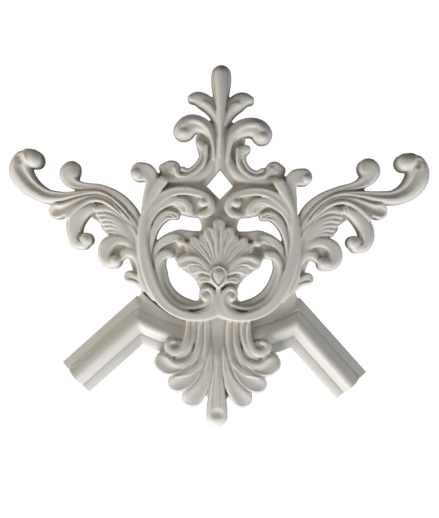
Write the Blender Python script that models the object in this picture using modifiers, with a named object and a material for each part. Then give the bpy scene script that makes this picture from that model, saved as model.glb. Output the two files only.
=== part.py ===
"""Corner ornament of a panel moulding, cast in one piece of rigid white foam plastic.

Two lengths of rail make a square corner that steps inwards along an arc. An openwork crest of
acanthus scrolls rises from the corner, and a shell of hollowed lobes hangs in front of it. The back
is flat, at Y = 0, and the ornament faces -Y. X runs across it and Z up it. The origin is on the
back, on the centre line, behind the root of the shell.
"""

import math

import bmesh
import bpy
import numpy as np
from mathutils import Vector

# Driving dimensions, in metres and degrees
CREST_WIDTH = 0.521
RELIEF_DEPTH = 0.036
RAIL_WIDTH = 0.050
RAIL_HEIGHT = 0.022
RAIL_EDGE_HEIGHT = 0.009
OUTER_FILLET = 0.0115
OUTER_FILLET_HEIGHT = 0.0125
GROOVE = 0.0015
INNER_FILLET = 0.0115
INNER_FILLET_HEIGHT = 0.013
ARM_LENGTH = 0.124
CORNER_ANGLE = 90.0
CORNER_SKEW = 2.5
VOXEL = 0.0016
TRIANGLE_SHARE = 0.03

# The carving is drawn in units of its own, which are millimetres at the nominal size. Drawn, the
# wing tips are this far apart and the highest point is this far from the wall.
DRAWN_WIDTH = 521.0
DRAWN_DEPTH = 36.0
ACROSS = CREST_WIDTH / DRAWN_WIDTH
FORWARD = RELIEF_DEPTH / DRAWN_DEPTH

# The crest sits on the rail, so the rail's outer edge is drawn in the same units: how far from the
# centre line it is mitred, and the arc that joins the two mitres.
MITRE_ACROSS = 102.5 * ACROSS
ARC_RADIUS = 187.0 * ACROSS
ARC_CENTRE = 197.5 * ACROSS

# A leaf is a row of stations: x, z, half width, height of the crown, depth of the hollow along it.
# The right half is given. The left half mirrors it, except for the leaves on the centre line.
RING = {
    "outer_rim": [(0, 18, 5, 26, 0), (22, 15.5, 5.5, 27, 0), (48, 20.5, 6, 27, 0), (68, 34, 6.5, 27, 0),
                  (82, 56, 7, 27, 0), (91, 84, 7, 26, 0), (94, 112, 7, 25, 0), (92, 140, 7, 24, 0),
                  (88, 165, 7, 23, 0)],
    "inner_rib": [(21, 48, 2.5, 22, 0), (13, 51.5, 2.5, 24, 0), (6, 45, 2.5, 24, 0), (8, 35, 3, 23, 0),
                  (20, 29, 3, 22, 0), (38, 29, 3, 22, 0), (55, 37, 3, 22, 0), (66, 50, 3.2, 22, 0),
                  (73, 66, 3.5, 22, 0), (76, 82, 4, 22, 0), (72, 91, 5, 23, 0), (62, 94, 6, 24, 0)],
    "ring_bed": [(14, 40, 9.5, 14, 0), (25, 27, 8, 15, 0), (45, 30, 8.5, 15, 0), (62, 42, 9, 15, 0),
                 (74, 60, 9.5, 16, 0), (79, 80, 11, 16, 0), (81, 98, 10, 16, 0), (86, 112, 7, 16, 0),
                 (88, 125, 6, 16, 0)],
    "eyebrow": [(87, 80, 4, 21, 0), (85, 96, 4.5, 22, 0), (77, 107, 5, 23, 1), (64, 113.5, 6, 24, 1.5),
                (53, 114, 6, 25, 0), (49, 108, 5, 26, 0)],
    "volute_eye": [(15, 42, 6, 26, 0), (15.2, 42, 6, 26, 0)],
    "rail_bed": [(44, 16, 7, 9, 0), (66, 27, 8, 9, 0), (84, 39, 9.5, 9, 0), (91, 45, 8.5, 9, 0)],
}
PALMETTE = {
    "palmette_bed": [(0, 50, 23, 12, 0), (0, 60, 28, 12, 0), (0, 68, 35, 12, 0), (0, 75, 45, 12, 0),
                     (0, 84, 52, 12, 0), (0, 98, 60, 12, 0), (0, 110, 52, 12, 0), (0, 122, 25, 12, 0),
                     (0, 145, 27, 12, 0)],
    "brow_bed": [(10, 112, 12, 13, 0), (32, 111.5, 12, 13, 0), (50, 112.5, 12, 13, 0),
                 (62, 108, 12, 13, 0), (72, 103, 10, 13, 0)],
    "bud_rim": [(0, 52, 3.5, 28, 0), (0, 60, 9, 29, 0), (0, 70, 12, 29, 0)],
    "bud": [(0, 56, 2, 32, 0), (0, 63, 6.5, 35, 0), (0, 70, 9, 36, 0)],
    "bud_stem": [(0, 50, 3, 26, 0), (0, 38, 4.5, 25, 0), (0, 26, 7, 25, 0), (0, 19, 10, 25, 0)],
    "ray_0": [(0, 80, 3.2, 26, 0), (0, 100, 4.2, 26, 1), (0, 120, 5, 25, 1), (0, 134, 5.8, 24, 0)],
    "ray_1": [(5, 82, 2.5, 25, 0), (8, 100, 3.5, 25, 0), (11.5, 118, 4.5, 24, 1), (13, 125, 5, 23, 0)],
    "ray_2": [(8, 82, 2.3, 25, 0), (13, 98, 3, 25, 0), (19, 109, 4, 23, 1), (22, 113, 4.2, 22, 0)],
    "ray_3": [(10, 81, 2.2, 25, 0), (18, 95, 3, 25, 0), (28, 106, 4, 23, 1), (33, 110, 4, 22, 0)],
    "ray_4": [(12, 79, 2.5, 25, 0), (22, 92, 3.2, 25, 0), (32, 100, 4, 24, 1), (40, 101, 4, 22, 0)],
    "ear_5": [(12, 76, 3, 25, 0), (24, 86, 5, 26, 0), (36, 88, 6.5, 27, 2), (44, 84, 7.5, 27, 2)],
    "ear_6": [(13, 71, 2.5, 25, 0), (24, 76, 3.5, 26, 0), (33, 76, 4, 25, 1), (37, 74, 4, 24, 0)],
    "ear_7": [(10, 62, 2.5, 25, 0), (17, 66, 3.5, 26, 1), (25, 63, 4, 25, 0)],
}
UPPER_SCROLLS = {
    "upper_bed": [(92, 118, 5, 14, 0), (84, 140, 9, 14, 0), (72, 158, 12, 14, 0), (55, 166, 15, 14, 0),
                  (35, 160, 18, 14, 0), (15, 156, 14, 14, 0), (0, 152, 12, 14, 0)],
    "cross_bed": [(8, 184, 9, 14, 0), (45, 184, 9, 14, 0), (86, 178, 9, 14, 0)],
    "scroll_1": [(91, 120, 5, 22, 0), (86, 140, 6, 23, 1), (76, 158, 6.5, 24, 1.5), (60, 170, 6.5, 24, 1.5),
                 (42, 173, 6.5, 24, 1.5), (26, 171, 6.5, 24, 1), (15, 164, 6, 24, 1), (13, 154, 5.5, 24, 0),
                 (20, 149, 4.5, 23, 0)],
    "scroll_1_eye": [(21, 158, 6, 27, 0), (21.2, 158, 6, 27, 0)],
    "scroll_2": [(88, 112, 4, 21, 0), (82, 132, 5, 22, 1), (70, 150, 5.5, 23, 1.5), (55, 160, 5.5, 23, 1.5),
                 (42, 160, 5, 23, 1), (34, 154, 5, 22, 0), (33, 147, 4.5, 21, 0)],
    "scroll_3": [(85, 108, 3, 20, 0), (78, 126, 4, 21, 0), (68, 140, 5.5, 22, 1.5), (57, 146, 6, 22, 1.5),
                 (50, 143, 5, 22, 0)],
    "bud_leaf": [(90, 150, 3, 24, 0), (82, 165, 4, 25, 0), (74, 178, 5, 26, 0), (69, 186, 5.5, 26, 0)],
    "corner_curl": [(92, 145, 5, 21, 0), (90, 165, 6.5, 22, 0), (88, 182, 8.5, 23, 1), (95, 192, 10, 24, 2),
                    (106, 192, 10.5, 24, 2)],
    "corner_curl_eye": [(107, 191, 6, 27, 0), (107.2, 191, 6, 27, 0)],
}
FINIAL = {
    "finial_bed": [(0, 198, 27, 13, 0), (0, 214, 26, 13, 0), (0, 230, 30, 13, 0), (0, 240, 31, 13, 0),
                   (0, 250, 24, 13, 0), (0, 262, 13, 13, 0)],
    "stem": [(0, 186, 20, 18, 0), (0, 205, 15, 19, 0), (0, 230, 12, 20, 0), (0, 262, 9, 20, 0)],
    "sweep": [(8, 232, 5, 20, 0), (9, 212, 7, 20, 0), (20, 196, 8, 20, 0), (38, 188, 7, 20, 0),
              (58, 187, 6, 20, 0), (74, 190, 8, 18, 0)],
    "flute_a": [(29, 224, 3, 20, 0), (30, 211, 3, 20, 0), (36, 201, 3, 20, 0), (45, 196.5, 2.8, 20, 0),
                (53, 200, 3, 21, 0)],
    "flute_b": [(22, 226, 3, 21, 0), (23, 208, 3, 21, 0), (32, 196, 3, 21, 0), (45, 191, 3, 21, 0),
                (57, 194, 3, 22, 0), (63, 203, 3.5, 22, 0)],
    "shoulder": [(58, 194, 6, 19, 0), (67, 203, 8.5, 22, 1.5), (75, 200, 7, 20, 0)],
    "spur": [(24, 216, 5.5, 20, 0), (28.5, 223, 6.5, 22, 0.5), (32.5, 226, 5.5, 22, 0.5)],
    "curl": [(8, 228, 6, 20, 0), (13, 241, 8.5, 21, 0.5), (24, 250.5, 11, 22, 1), (38, 253.5, 12.2, 22, 2),
             (48, 250, 12.8, 22.5, 3), (52, 244.5, 12.8, 23, 3)],
    "curl_ridge": [(9, 212, 3, 21.5, 0), (12.5, 232, 3, 24, 0), (17.5, 245, 3.4, 26, 0), (26.5, 253, 4, 27, 0),
                   (37.5, 256.5, 4.4, 27.5, 0), (47, 255, 4.6, 27.5, 0), (52.5, 250, 4.6, 27.5, 0)],
    "curl_eye": [(52.5, 241, 7, 28, 0), (52.7, 241, 7, 28, 0)],
    "side_leaf": [(4, 256, 5, 19, 0), (9, 269, 8, 20.5, 0.6), (16, 280, 10.6, 22, 1.6), (26, 287, 10.2, 22.5, 2.4),
                  (34, 288, 7.6, 22.5, 2), (39, 286.5, 4.4, 22, 0)],
    "finial_bud": [(0, 226, 1.5, 23, 0), (0, 250, 4, 25, 0), (0, 275, 6.5, 27, 0), (0, 295, 9.5, 28, 0),
                   (0, 312, 12.3, 29, 0), (0, 319, 12, 29, 0)],
}
WING = {
    "wing_bed": [(95, 62, 8, 13, 0), (103, 90, 10, 13, 0), (108, 113, 14, 13, 0), (122, 134, 17, 13, 0),
                 (145, 150, 17, 13, 0), (168, 160, 13, 13, 0), (190, 162, 8, 13, 0)],
    "wing_stem": [(80, 38, 3, 22, 0), (91, 52, 3.5, 23, 0), (98, 72, 4, 23, 0), (101, 95, 4, 22, 0),
                  (101, 120, 3.5, 21, 0)],
    "thumb": [(97, 126, 3, 21, 0), (106, 149, 4, 22, 1), (124, 165, 4.5, 23, 1.5), (148, 175, 4.5, 23, 1.5),
              (170, 181, 5.5, 24, 2), (183, 189, 8.5, 25, 2.5), (187, 198, 12, 26, 3.5),
              (185, 203, 13.4, 26, 4)],
    "tip": [(98, 120, 3, 21, 0), (108, 141, 3.5, 22, 1), (126, 158, 4, 24, 1.5), (150, 168, 4.5, 25, 2),
            (175, 170, 5.5, 25, 2.5), (198, 167.5, 7, 25, 3.5), (218, 168, 9.5, 26, 5), (235, 176, 12, 28, 6),
            (245, 190, 13.5, 30, 6), (246, 204, 12.5, 31, 5), (239, 213.5, 11.5, 31, 2),
            (231, 212, 11.5, 31, 0)],
    "tip_eye": [(230, 211.5, 11.8, 34, 0), (230.2, 211.5, 11.8, 34, 0)],
    "thumb_bed": [(150, 171, 5, 18, 0), (166, 176, 5.5, 18, 0), (176, 178, 4.5, 18, 0)],
    "lower_lobe": [(100, 117, 2.5, 21, 0), (112, 137, 3, 22, 1), (130, 152, 4, 23, 1.5), (150, 160, 5, 24, 2),
                   (172, 160, 6.5, 25, 2.5), (187, 154.5, 9.5, 26, 4), (197.5, 151, 11.5, 26, 5)],
    "hook": [(102, 112, 2.5, 21, 0), (116, 134, 3, 22, 1), (135, 147, 4.5, 24, 1), (155, 151, 6.5, 25, 1),
             (172, 143, 9, 26, 1.5), (181, 129, 10.5, 26, 2), (182, 115, 9.5, 26, 2), (176, 107, 8.5, 26, 1),
             (168, 107.5, 8.2, 26, 0)],
    "hook_eye": [(167, 112, 9, 29, 0), (167.2, 112, 9, 29, 0)],
    "fan_bed": [(110, 108, 7, 14, 0), (126, 121, 10, 14, 0), (139, 130, 9.5, 14, 0)],
    "fan_a": [(104, 108, 2, 21, 0), (118, 128, 2.8, 23, 0.5), (134, 141, 4, 24, 1), (150, 145.5, 5, 24, 1)],
    "fan_b": [(105, 104, 2, 21, 0), (117, 120, 2.6, 23, 0.5), (130, 132, 3.4, 24, 1), (146, 135, 4.2, 23, 1)],
    "fan_c": [(105, 99, 2, 21, 0), (115, 113, 2.6, 23, 0.5), (127, 122, 3.4, 24, 1), (141, 124, 4, 23, 1)],
    "ball_curl": [(100, 82, 3, 21, 0), (106, 99, 4, 22, 1), (117, 110, 5.5, 24, 1), (132, 111, 7.5, 25, 1.5),
                  (143, 103, 9.5, 26, 2), (144.5, 92, 9, 26, 1.5), (138, 84.5, 8.5, 26, 0.5),
                  (131, 84, 9, 25, 0)],
    "ball_curl_eye": [(130, 86, 8.5, 29, 0), (130.2, 86, 8.5, 29, 0)],
    "ball_curl_bed": [(112, 97, 9, 14, 0), (126, 98, 12, 14, 0)],
    "tongue": [(99, 76, 4, 20, 0), (104, 89, 5, 22, 0.5), (113, 96, 6, 24, 1)],
    "small_leaf": [(91, 50, 4, 17, 0), (101, 61, 6, 20, 1), (111, 65.5, 7.5, 21, 2)],
}
SHELL = {
    "shell_bed": [(0, 12, 34, 16, 0), (0, -8, 38, 21, 0), (0, -28, 50, 24, 0), (0, -50, 52, 24, 0),
                  (0, -66, 38, 23, 0), (0, -74, 16, 22, 0)],
    "lobe_0": [(0, 10, 9, 19, 0), (0, -20, 9, 26, 0), (0, -50, 7.5, 31, 1), (0, -80, 9.5, 34, 2),
               (0, -99, 12.5, 35, 5), (0, -105, 13, 35, 5)],
    "lobe_1": [(13, 9, 4.5, 20, 1), (14, -15, 5, 26, 1.5), (17, -42, 6, 31, 2), (24, -65, 8.5, 33, 4),
               (31, -80, 12, 34, 5)],
    "lobe_2": [(22, 10, 4.5, 20, 1), (23, -12, 5, 26, 1.5), (30, -36, 6, 30, 2), (42, -54, 8.5, 32, 4),
               (50, -63, 12, 33, 5)],
    "lobe_3": [(30, 11, 4.5, 20, 1), (31, -5, 5, 25, 1.5), (37, -25, 6, 29, 2), (51, -37, 8, 30, 4),
               (66, -38, 11.5, 31, 5)],
    "lobe_4": [(36, 10, 3, 20, 0), (37, -6, 3.5, 24, 0), (43, -19, 4, 28, 0), (53, -23, 5, 30, 1),
               (61, -18, 5, 30, 0), (57, -13, 4, 29, 0)],
}
CENTRED = ("palmette_bed", "bud_rim", "bud", "bud_stem", "ray_0", "finial_bed", "stem", "finial_bud",
           "shell_bed", "lobe_0")

# The left half was carved by eye: where it strays from the mirror image, by how much, and how far
# around the stray reaches.
STRAYS = [((186, 202), (0, -10), 22), ((262, 196), (2, -1), 14), ((228, 212), (2.5, 0), 14),
          ((203, 148), (4, -5), 16), ((188, 115), (-5, 0), 14), ((143, 95), (-4, 0), 15),
          ((118, 163), (2, -4), 20), ((172, 202), (3, 0), 9),
          ((48, 252), (-7, 4), 24), ((33, 290), (3, -0.5), 14), ((104, 195), (-5, 6), 22),
          ((36, 215), (-5, 4), 16), ((66, 205), (-5, -3), 14)]

# The gap above the scrolls, in the same units: half its width, and the heights of its four corners
GAP_HALF_WIDTH = 17.0
GAP_BOTTOM = 163.0
GAP_MIDDLE = 180.0
GAP_TOP = 201.0

# How a leaf is shaped: its rim's place, the share of its height that is wall, and the steps along it
RIM = 0.8
WALL_SHARE = 0.6
ROUNDNESS = 1.0
BED_ROUND = 1.5
BACK_SPARE = 4.0
STATION_STEP = 2.5
SECTION_STEPS = 12
CAP_STEPS = 5
ARC_STEPS = 16
SWELL_STEPS = 10


def clear_scene():
    for obj in list(bpy.data.objects):
        bpy.data.objects.remove(obj)


def new_collection(name):
    made = bpy.data.collections.new(name)
    bpy.context.scene.collection.children.link(made)
    return made


def plastic():
    """The white primer that the casting is sold in."""
    made = bpy.data.materials.new("primed foam")
    made.use_nodes = True
    shader = made.node_tree.nodes["Principled BSDF"]
    shader.inputs["Base Color"].default_value = (0.83, 0.82, 0.79, 1)
    shader.inputs["Roughness"].default_value = 0.45
    shader.inputs["Metallic"].default_value = 0.0
    return made


def new_object(name, mesh, collection, material):
    """Makes an object from a bmesh of closed shapes, which it uses up."""
    bmesh.ops.recalc_face_normals(mesh, faces=mesh.faces)
    data = bpy.data.meshes.new(name)
    mesh.to_mesh(data)
    mesh.free()
    data.materials.append(material)
    made = bpy.data.objects.new(name, data)
    collection.objects.link(made)
    return made


def loft(into, rings):
    """Joins rings of equally many points to one closed shape."""
    made = [[into.verts.new(point) for point in ring] for ring in rings]
    for ring, following in zip(made, made[1:]):
        for i in range(len(ring)):
            j = (i + 1) % len(ring)
            into.faces.new((ring[i], ring[j], following[j], following[i]))
    into.faces.new(made[0][::-1])
    into.faces.new(made[-1])


def smooth(stations, step):
    """Points on a smooth curve through the stations, with every column carried along."""
    rows = np.array(stations, float)
    gaps = np.sqrt(np.linalg.norm(np.diff(rows[:, :2], axis=0), axis=1))
    slopes = np.gradient(rows, np.concatenate([[0.0], np.cumsum(gaps)]), axis=0)
    made = [rows[0]]
    for i, gap in enumerate(gaps):
        steps = max(1, round(gap**2 / step))
        for t in np.arange(1, steps + 1) / steps:
            made.append(
                (2 * t**3 - 3 * t**2 + 1) * rows[i]
                + (t**3 - 2 * t**2 + t) * gap * slopes[i]
                + (3 * t**2 - 2 * t**3) * rows[i + 1]
                + (t**3 - t**2) * gap * slopes[i + 1]
            )
    return np.array(made)


def rise(half, crown, bed):
    """How far the crown of a leaf stands above its two walls."""
    return BED_ROUND if bed else min(half * ROUNDNESS, crown * (1 - WALL_SHARE))


def capped(rows, bed):
    """Adds rounded ends: sections that shrink to a point over half a width beyond the last station."""
    ends = []
    for end, inner in ((rows[0], rows[1]), (rows[-1], rows[-2])):
        way = end[:2] - inner[:2]
        way /= np.linalg.norm(way)
        sections = []
        for turn in np.arange(1, CAP_STEPS + 1) / CAP_STEPS * math.pi / 2:
            made = end.copy()
            made[:2] += way * end[2] * math.sin(turn)
            made[2] *= max(math.cos(turn), 0.02)
            made[3] -= rise(end[2], end[3], bed) * (1 - math.cos(turn))
            made[4] *= math.cos(turn) ** 2
            sections.append(made)
        ends.append(sections)
    return np.array(ends[0][::-1] + list(rows) + ends[1])


def section(half, crown, hollow, bed):
    """Offsets across a leaf and their heights: a crown between two walls, hollowed along the middle."""
    crest = rise(half, crown, bed)
    points = [(-half, -BACK_SPARE)]
    for turn in np.linspace(-math.pi / 2, math.pi / 2, SECTION_STEPS + 1):
        u = math.sin(turn)
        bowl = hollow * math.cos(min(abs(u) / RIM, 1) * math.pi / 2) ** 2
        points.append((u * half, crown - crest + crest * math.cos(turn) - bowl))
    points.append((half, -BACK_SPARE))
    return points


def left_place(x, z):
    """Where a point of the right half lies on the left: mirrored, and strayed from the mirror image."""
    across, up = 0.0, 0.0
    for (place_x, place_z), (shift_x, shift_z), reach in STRAYS:
        near = math.exp(-((x - place_x) ** 2 + (z - place_z) ** 2) / (2 * reach**2))
        across += shift_x * near
        up += shift_z * near
    return -(x + across), z + up


def leaf(into, stations, bed, left):
    """Adds one leaf to the carving, on the right half or on the left one."""
    rows = capped(smooth(stations, STATION_STEP), bed)
    rings = []
    for (x, z, half, crown, hollow), (way_x, way_z) in zip(rows, np.gradient(rows[:, :2], axis=0)):
        length = math.hypot(way_x, way_z)
        ring = []
        for offset, height in section(half, crown, hollow, bed):
            place = x + way_z / length * offset, z - way_x / length * offset
            if left:
                place = left_place(*place)
            ring.append((place[0] * ACROSS, -height * FORWARD, place[1] * ACROSS))
        rings.append(ring)
    loft(into, rings)


def make_carving(collection, material):
    """The crest and the shell: every leaf, melted into one body and thinned out."""
    mesh = bmesh.new()
    for group in (RING, PALMETTE, UPPER_SCROLLS, FINIAL, WING, SHELL):
        for name, stations in group.items():
            bed = name.endswith("_bed")
            leaf(mesh, stations, bed, False)
            if name not in CENTRED:
                leaf(mesh, stations, bed, True)
    made = new_object("corner_moulding", mesh, collection, material)
    melt = made.modifiers.new("Melt", "REMESH")
    melt.mode = "VOXEL"
    melt.voxel_size = VOXEL
    thin = made.modifiers.new("Thin", "DECIMATE")
    thin.ratio = TRIANGLE_SHARE
    return made


def rail_profile():
    """The rail's section from its outer edge inwards: offsets across it and heights above the wall."""
    start = OUTER_FILLET + GROOVE
    end = RAIL_WIDTH - INNER_FILLET - GROOVE
    low = OUTER_FILLET_HEIGHT - GROOVE
    points = [(0, -BACK_SPARE * FORWARD), (0, RAIL_EDGE_HEIGHT), (OUTER_FILLET, OUTER_FILLET_HEIGHT)]
    for turn in np.linspace(0, math.pi, SWELL_STEPS + 1):
        across = (1 - math.cos(turn)) / 2
        points.append((start + across * (end - start), low + (RAIL_HEIGHT - low) * math.sin(turn) ** 0.8))
    points.append((RAIL_WIDTH - INNER_FILLET, INNER_FILLET_HEIGHT))
    points.append((RAIL_WIDTH, low))
    points.append((RAIL_WIDTH, -BACK_SPARE * FORWARD))
    return points


def rail_half(side):
    """Outer and inner edge of half the rail, from the centre line to the arm's end; side is 1 or -1."""
    centre = Vector((0, ARC_CENTRE))
    slope = math.radians(CORNER_ANGLE / 2 + side * CORNER_SKEW)
    along = Vector((math.cos(slope), -math.sin(slope)))
    inward = Vector((-math.sin(slope), -math.cos(slope)))
    outer = Vector((MITRE_ACROSS, ARC_CENTRE - math.sqrt(ARC_RADIUS**2 - MITRE_ACROSS**2)))
    base = outer + inward * RAIL_WIDTH - centre
    middle = base.dot(along)
    reach = math.sqrt(middle**2 - base.length_squared + (ARC_RADIUS + RAIL_WIDTH) ** 2)
    inner = centre + base + along * (reach - middle)
    turns = [math.atan2(corner.x, ARC_CENTRE - corner.y) for corner in (outer, inner)]
    pairs = []
    for share in np.linspace(0, 1, ARC_STEPS + 1):
        pair = []
        for radius, turn in zip((ARC_RADIUS, ARC_RADIUS + RAIL_WIDTH), turns):
            pair.append(centre + radius * Vector((math.sin(share * turn), -math.cos(share * turn))))
        pairs.append(pair)
    end = outer + along * ARM_LENGTH
    pairs.append((end, end + inward * RAIL_WIDTH))
    return [[(side * point.x, point.y) for point in pair] for pair in pairs]


def make_rail(collection, material):
    """Both arms and the arc between them, mitred where they meet, as one length of moulding."""
    mesh = bmesh.new()
    profile = rail_profile()
    rings = []
    for outer, inner in rail_half(-1)[:0:-1] + rail_half(1):
        ring = []
        for offset, height in profile:
            share = offset / RAIL_WIDTH
            x = outer[0] + (inner[0] - outer[0]) * share
            z = outer[1] + (inner[1] - outer[1]) * share
            ring.append((x, -height, z))
        rings.append(ring)
    loft(mesh, rings)
    return new_object("rail", mesh, collection, material)


def make_gap_cutter(collection, material):
    mesh = bmesh.new()
    corners = ((0, GAP_TOP), (GAP_HALF_WIDTH, GAP_MIDDLE), (0, GAP_BOTTOM), (-GAP_HALF_WIDTH, GAP_MIDDLE))
    rings = [[(x * ACROSS, y, z * ACROSS) for x, z in corners] for y in (-RELIEF_DEPTH, RELIEF_DEPTH)]
    loft(mesh, rings)
    return new_object("gap cutter", mesh, collection, material)


def make_wall_cutter(collection, material):
    """A block behind the wall face, which leaves the back flat."""
    mesh = bmesh.new()
    bmesh.ops.create_cube(mesh, size=2 * CREST_WIDTH)
    bmesh.ops.translate(mesh, verts=mesh.verts, vec=(0, CREST_WIDTH, 0))
    return new_object("wall cutter", mesh, collection, material)


def cut(target, tool, operation):
    tool.hide_render = True
    tool.display_type = "WIRE"
    made = target.modifiers.new(tool.name, "BOOLEAN")
    made.operation = operation
    made.object = tool


def main():
    clear_scene()
    parts = new_collection("corner moulding")
    cutters = new_collection("cutters")
    white = plastic()
    casting = make_carving(parts, white)
    cut(casting, make_rail(cutters, white), "UNION")
    cut(casting, make_gap_cutter(cutters, white), "DIFFERENCE")
    cut(casting, make_wall_cutter(cutters, white), "DIFFERENCE")


main()
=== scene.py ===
"""Corner ornament of a panel moulding, cast in one piece of rigid white foam plastic.

The ornament is made here as its maker makes it: a carver's model is built up leaf by leaf, melted
into one skin, chased with finer lines, and cast on the moulding. Its back is flat, at Y = 0, and it
faces -Y. The carving is drawn in millimetres, for the right half, with X across and Z up.
"""

import math

import bmesh
import bpy
import numpy as np
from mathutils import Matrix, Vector
from mathutils.kdtree import KDTree


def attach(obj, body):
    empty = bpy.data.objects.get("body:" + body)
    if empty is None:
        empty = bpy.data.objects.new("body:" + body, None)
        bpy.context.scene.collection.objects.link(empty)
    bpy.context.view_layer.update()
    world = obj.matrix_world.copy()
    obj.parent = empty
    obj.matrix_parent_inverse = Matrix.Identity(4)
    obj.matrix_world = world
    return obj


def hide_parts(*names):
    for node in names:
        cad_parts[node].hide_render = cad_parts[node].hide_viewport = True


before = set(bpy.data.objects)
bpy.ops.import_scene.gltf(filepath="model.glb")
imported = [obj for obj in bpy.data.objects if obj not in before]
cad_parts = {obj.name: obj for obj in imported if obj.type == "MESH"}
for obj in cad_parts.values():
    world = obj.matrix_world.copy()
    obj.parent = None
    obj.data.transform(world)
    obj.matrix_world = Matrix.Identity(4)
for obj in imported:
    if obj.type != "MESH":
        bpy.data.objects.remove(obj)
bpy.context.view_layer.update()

# The moulding: a 50 mm wide panel moulding of which two short arms and the arc between them are
# cast with the ornament. The master is planed from a profile, mitred at both ends of the arc, and
# cut square where a straight length butts against it.
MM = 0.001
RAIL_WIDTH = 50.0
OUTER_FILLET = 11.5
INNER_FILLET = 11.5
ARM_LENGTH = 124.0
CORNER_ANGLE = 90.0
CORNER_SKEW = 2.5
MITRE_ACROSS = 102.5
ARC_RADIUS = 187.0
ARC_CENTRE = 197.5
BEHIND_WALL = 4.0
QUIRK_HEIGHT = 11
SWELL_RISE = 11
ARC_STEPS = 40
ARM_STEPS = 24
SWELL_STEPS = 28


def loft(into, rings):
    """Joins rings of equally many points to one closed shape."""
    made = [[into.verts.new(point) for point in ring] for ring in rings]
    for ring, following in zip(made, made[1:]):
        for i in range(len(ring)):
            j = (i + 1) % len(ring)
            into.faces.new((ring[i], ring[j], following[j], following[i]))
    into.faces.new(made[0][::-1])
    into.faces.new(made[-1])


def mesh_object(name, shape):
    """Makes an object from a bmesh of closed shapes, which it uses up."""
    bmesh.ops.recalc_face_normals(shape, faces=shape.faces)
    data = bpy.data.meshes.new(name)
    shape.to_mesh(data)
    shape.free()
    made = bpy.data.objects.new(name, data)
    bpy.context.scene.collection.objects.link(made)
    return made


def moulding_profile():
    """Offsets from the outer edge and heights above the wall: fillet, bead, quirk, swell, fillet."""
    quirk = OUTER_FILLET + 1.2
    foot = RAIL_WIDTH - INNER_FILLET - 0.8
    points = [(0, -BEHIND_WALL), (0, 8.2), (0.8, 9), (OUTER_FILLET - 3.2, 11), (OUTER_FILLET - 2.2, 11.6),
              (OUTER_FILLET - 1.2, 11.8), (OUTER_FILLET - 0.2, 11.4), (OUTER_FILLET + 0.5, 11)]
    for turn in np.linspace(0, math.pi, SWELL_STEPS + 1):
        across = 0.25 * (1 - math.cos(turn)) / 2 + 0.75 * turn / math.pi
        height = QUIRK_HEIGHT + SWELL_RISE * math.sin(turn) ** 1.1
        points.append((quirk + across * (foot - quirk), height))
    points += [(foot + 1.2, 11.2), (foot + 2.6, 11.3), (RAIL_WIDTH - 0.8, 8.6), (RAIL_WIDTH, 8),
               (RAIL_WIDTH, -BEHIND_WALL)]
    return points


def moulding_course(side):
    """Outer and inner edge of half the moulding, from the centre line to the arm's end."""
    centre = Vector((0, ARC_CENTRE))
    slope = math.radians(CORNER_ANGLE / 2 + side * CORNER_SKEW)
    along = Vector((math.cos(slope), -math.sin(slope)))
    inward = Vector((-math.sin(slope), -math.cos(slope)))
    outer = Vector((MITRE_ACROSS, ARC_CENTRE - math.sqrt(ARC_RADIUS**2 - MITRE_ACROSS**2)))
    base = outer + inward * RAIL_WIDTH - centre
    middle = base.dot(along)
    reach = math.sqrt(middle**2 - base.length_squared + (ARC_RADIUS + RAIL_WIDTH) ** 2)
    inner = centre + base + along * (reach - middle)
    turns = [math.atan2(corner.x, ARC_CENTRE - corner.y) for corner in (outer, inner)]
    pairs = []
    for share in np.linspace(0, 1, ARC_STEPS + 1):
        pair = []
        for radius, turn in zip((ARC_RADIUS, ARC_RADIUS + RAIL_WIDTH), turns):
            pair.append(centre + radius * Vector((math.sin(share * turn), -math.cos(share * turn))))
        pairs.append(pair)
    inner = pairs[-1][1]
    end = outer + along * ARM_LENGTH
    for share in np.linspace(0, 1, ARM_STEPS + 1)[1:]:
        pairs.append((outer.lerp(end, share), inner.lerp(end + inward * RAIL_WIDTH, share)))
    return [[(side * point.x, point.y) for point in pair] for pair in pairs]


plane_work = bmesh.new()
sections = []
for (outer_x, outer_z), (inner_x, inner_z) in moulding_course(-1)[:0:-1] + moulding_course(1):
    ring = []
    for offset, height in moulding_profile():
        share = offset / RAIL_WIDTH
        x = outer_x + (inner_x - outer_x) * share
        z = outer_z + (inner_z - outer_z) * share
        ring.append((x * MM, -height * MM, z * MM))
    sections.append(ring)
loft(plane_work, sections)
moulding = mesh_object("moulding", plane_work)

# The ring: a broad hollow moulding that swings round both eyes of the crest, with a thin rib inside
# it that rolls up into the two volutes. It is the first carving laid on the moulding, of clay in
# the carver's model and of the same foam in the casting.
RIM = 0.7
WALL_SHARE = 0.6
FULL_ROLL = 12.0
BED_ROLL = 1.5
RING_ROLL = 4.0
STATION_STEP = 1.6
SECTION_STEPS = 18
CAP_STEPS = 7
LEAST_CAP = 0.02
FULLEST = 2.2
FULLER_BY_HOLLOW = 0.9

# Places on the right half whose mirror images stray on the left, how far, and how far around them
STRAYS = [((186, 202), (0, -10), 22), ((262, 196), (2, -1), 14), ((228, 212), (2.5, 0), 14),
          ((203, 148), (4, -5), 16), ((188, 115), (-5, 0), 14), ((143, 95), (-4, 0), 15),
          ((118, 163), (2, -4), 20), ((172, 202), (3, 0), 9),
          ((48, 252), (-7, 4), 24), ((33, 290), (3, -0.5), 14), ((104, 195), (-5, 6), 22),
          ((36, 215), (-5, 4), 16), ((66, 205), (-5, -3), 14), ((67, 74), (-2.5, 0), 8)]

clay = bmesh.new()

# Lines to chase: depth, half width, taper and points of each
chased = []


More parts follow.
